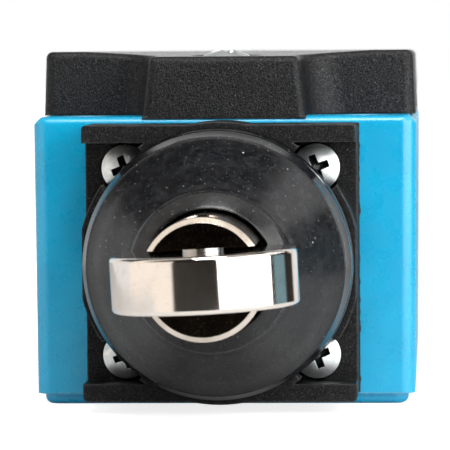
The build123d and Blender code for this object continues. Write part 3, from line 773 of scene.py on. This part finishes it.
def floor():
    """Pale floor, a wide sheet under the switch. In mirrored rays it is a small table in a dark room."""
    half = 3.0
    made = bmesh.new()
    outline = ((-half, -half), (half, -half), (half, half), (-half, half))
    made.faces.new([made.verts.new((x, y, -0.02 * MM)) for x, y in outline])
    data = bpy.data.meshes.new("floor")
    made.to_mesh(data)
    made.free()
    f = Finish("floor_detail")
    cloud = f.noise(40 * MM, 3.0)
    seen_colour = f.blend(f.band(cloud, 0.3, 0.7), rgb(240, 240, 239), rgb(247, 247, 247))
    x, y, _ = f.node("ShaderNodeSeparateXYZ", {"Vector": f.place}).outputs
    near = f.math("MULTIPLY", f.band(y, -0.14, -0.125), f.band(f.math("ABSOLUTE", x), 0.135, 0.125))
    mirrored_colour = f.blend(near, (0.01, 0.01, 0.01, 1), rgb(206, 206, 206))
    # The glow seen directly is white, with a painted shade round the switch where it is a little weaker; the
    # mirrored one is the room's
    away = f.node("ShaderNodeVectorMath", {0: f.place}, operation="LENGTH").outputs["Value"]
    level = f.band(away, 0.06, 0.25, 0.8, 1.0)
    seen_glow = f.node("ShaderNodeCombineXYZ", {0: level, 1: level, 2: level}).outputs[0]
    to_roller = (0, -roller_middle, 0)
    from_roller = f.node("ShaderNodeVectorMath", {0: f.place, 1: to_roller}, operation="ADD").outputs[0]
    mirrored_glow = f.blend(near, f.room(from_roller), (near_glow, near_glow, near_glow, 1))
    seen = f.node("ShaderNodeLightPath").outputs["Is Camera Ray"]
    material = f.finish(
        {
            "Base Color": f.blend(seen, mirrored_colour, seen_colour),
            "Roughness": f.band(cloud, 0.3, 0.7, 0.7, 0.85),
            "Specular IOR Level": 0.2,
            "Emission Color": f.blend(seen, mirrored_glow, seen_glow),
            "Emission Strength": 1.0,
        }
    )
    data.materials.append(material)
    add("floor", data)


def softbox(name, place, aim, width, height, power, mirrored=True):
    """Soft rectangular light, aimed at a point. Shiny faces show it unless it isn't mirrored."""
    data = bpy.data.lights.new(name, "AREA")
    data.shape = "RECTANGLE"
    data.size = width
    data.size_y = height
    data.energy = power
    thing = add(name, data)
    thing.location = place
    thing.rotation_mode = "QUATERNION"
    thing.rotation_quaternion = (Vector(aim) - Vector(place)).to_track_quat("-Z", "Y")
    thing.visible_camera = False
    thing.visible_glossy = mirrored


def studio_world():
    """White surroundings behind the switch, a dark room with a few bright panels in front of it."""
    world = bpy.data.worlds.new("studio")
    w = Wiring(world)
    place = w.node("ShaderNodeTexCoord").outputs["Generated"]
    x, y, height = w.node("ShaderNodeSeparateXYZ", {"Vector": place}).outputs
    # A bright arch stands over the switch, square to the plunger; the left wall and the backdrop are tall
    tall = w.math("MAXIMUM", w.band(y, 0.6, 0.75, 0.0, 0.4), w.band(x, -0.3, -0.5, 0.0, 0.18))
    overhead = w.blend(w.band(w.math("ABSOLUTE", y), 0.2, 0.13), ceiling, arch)
    room = w.blend(w.band(w.math("SUBTRACT", height, tall), 0.12, 0.3), w.room(place), overhead)
    seen = w.node("ShaderNodeLightPath").outputs["Is Camera Ray"]
    shown = w.blend(seen, room, (1, 1, 1, 1))
    background = w.node("ShaderNodeBackground", {"Color": shown, "Strength": 1.0})
    w.node("ShaderNodeOutputWorld", {"Surface": background.outputs[0]})
    bpy.context.scene.world = world


def camera():
    """Long lens, level with the top of the switch and a little to its right."""
    data = bpy.data.cameras.new("camera")
    data.sensor_width = 36
    data.lens = 282.8
    data.clip_start = 0.01
    data.clip_end = 20
    thing = add("camera", data)
    thing.location = (22.13 * MM, -406.53 * MM, 37.25 * MM)
    thing.rotation_mode = "XYZ"
    heading, drop, roll = 3.404, 2.815, -0.408  # degrees
    level = Matrix.Rotation(math.radians(heading), 3, "Z")
    tilt = Matrix.Rotation(math.radians(90 - drop), 3, "X")
    thing.rotation_euler = (level @ tilt @ Matrix.Rotation(math.radians(roll), 3, "Z")).to_euler()
    focus = add("focus", None)
    focus.location = (0, boss_face, axis_height)
    data.dof.use_dof = True
    data.dof.focus_object = focus
    data.dof.aperture_fstop = 150
    bpy.context.scene.camera = thing


floor()
studio_world()
softbox(
    "right_softbox",
    place=(0.187, -0.187, 0.05),
    aim=(0, -0.037, 0.02),
    width=0.324,
    height=0.26,
    power=1.12,
)
softbox(
    "left_fill",
    place=(-0.272, -0.202, 0.1),
    aim=(0, -0.06, 0.02),
    width=0.34,
    height=0.25,
    power=0.2,
    mirrored=False,
)
softbox(
    "front_softbox",
    place=(0.03, -0.25, 0.38),
    aim=(0, -0.04, 0.02),
    width=0.2,
    height=0.2,
    power=1.4,
)
softbox(
    "back_softbox",
    place=(0.246, 0.07, 0.23),
    aim=(0, -0.055, 0.0155),
    width=0.15,
    height=0.15,
    power=0.09,
)
camera()
bpy.context.scene.view_settings.view_transform = "Standard"
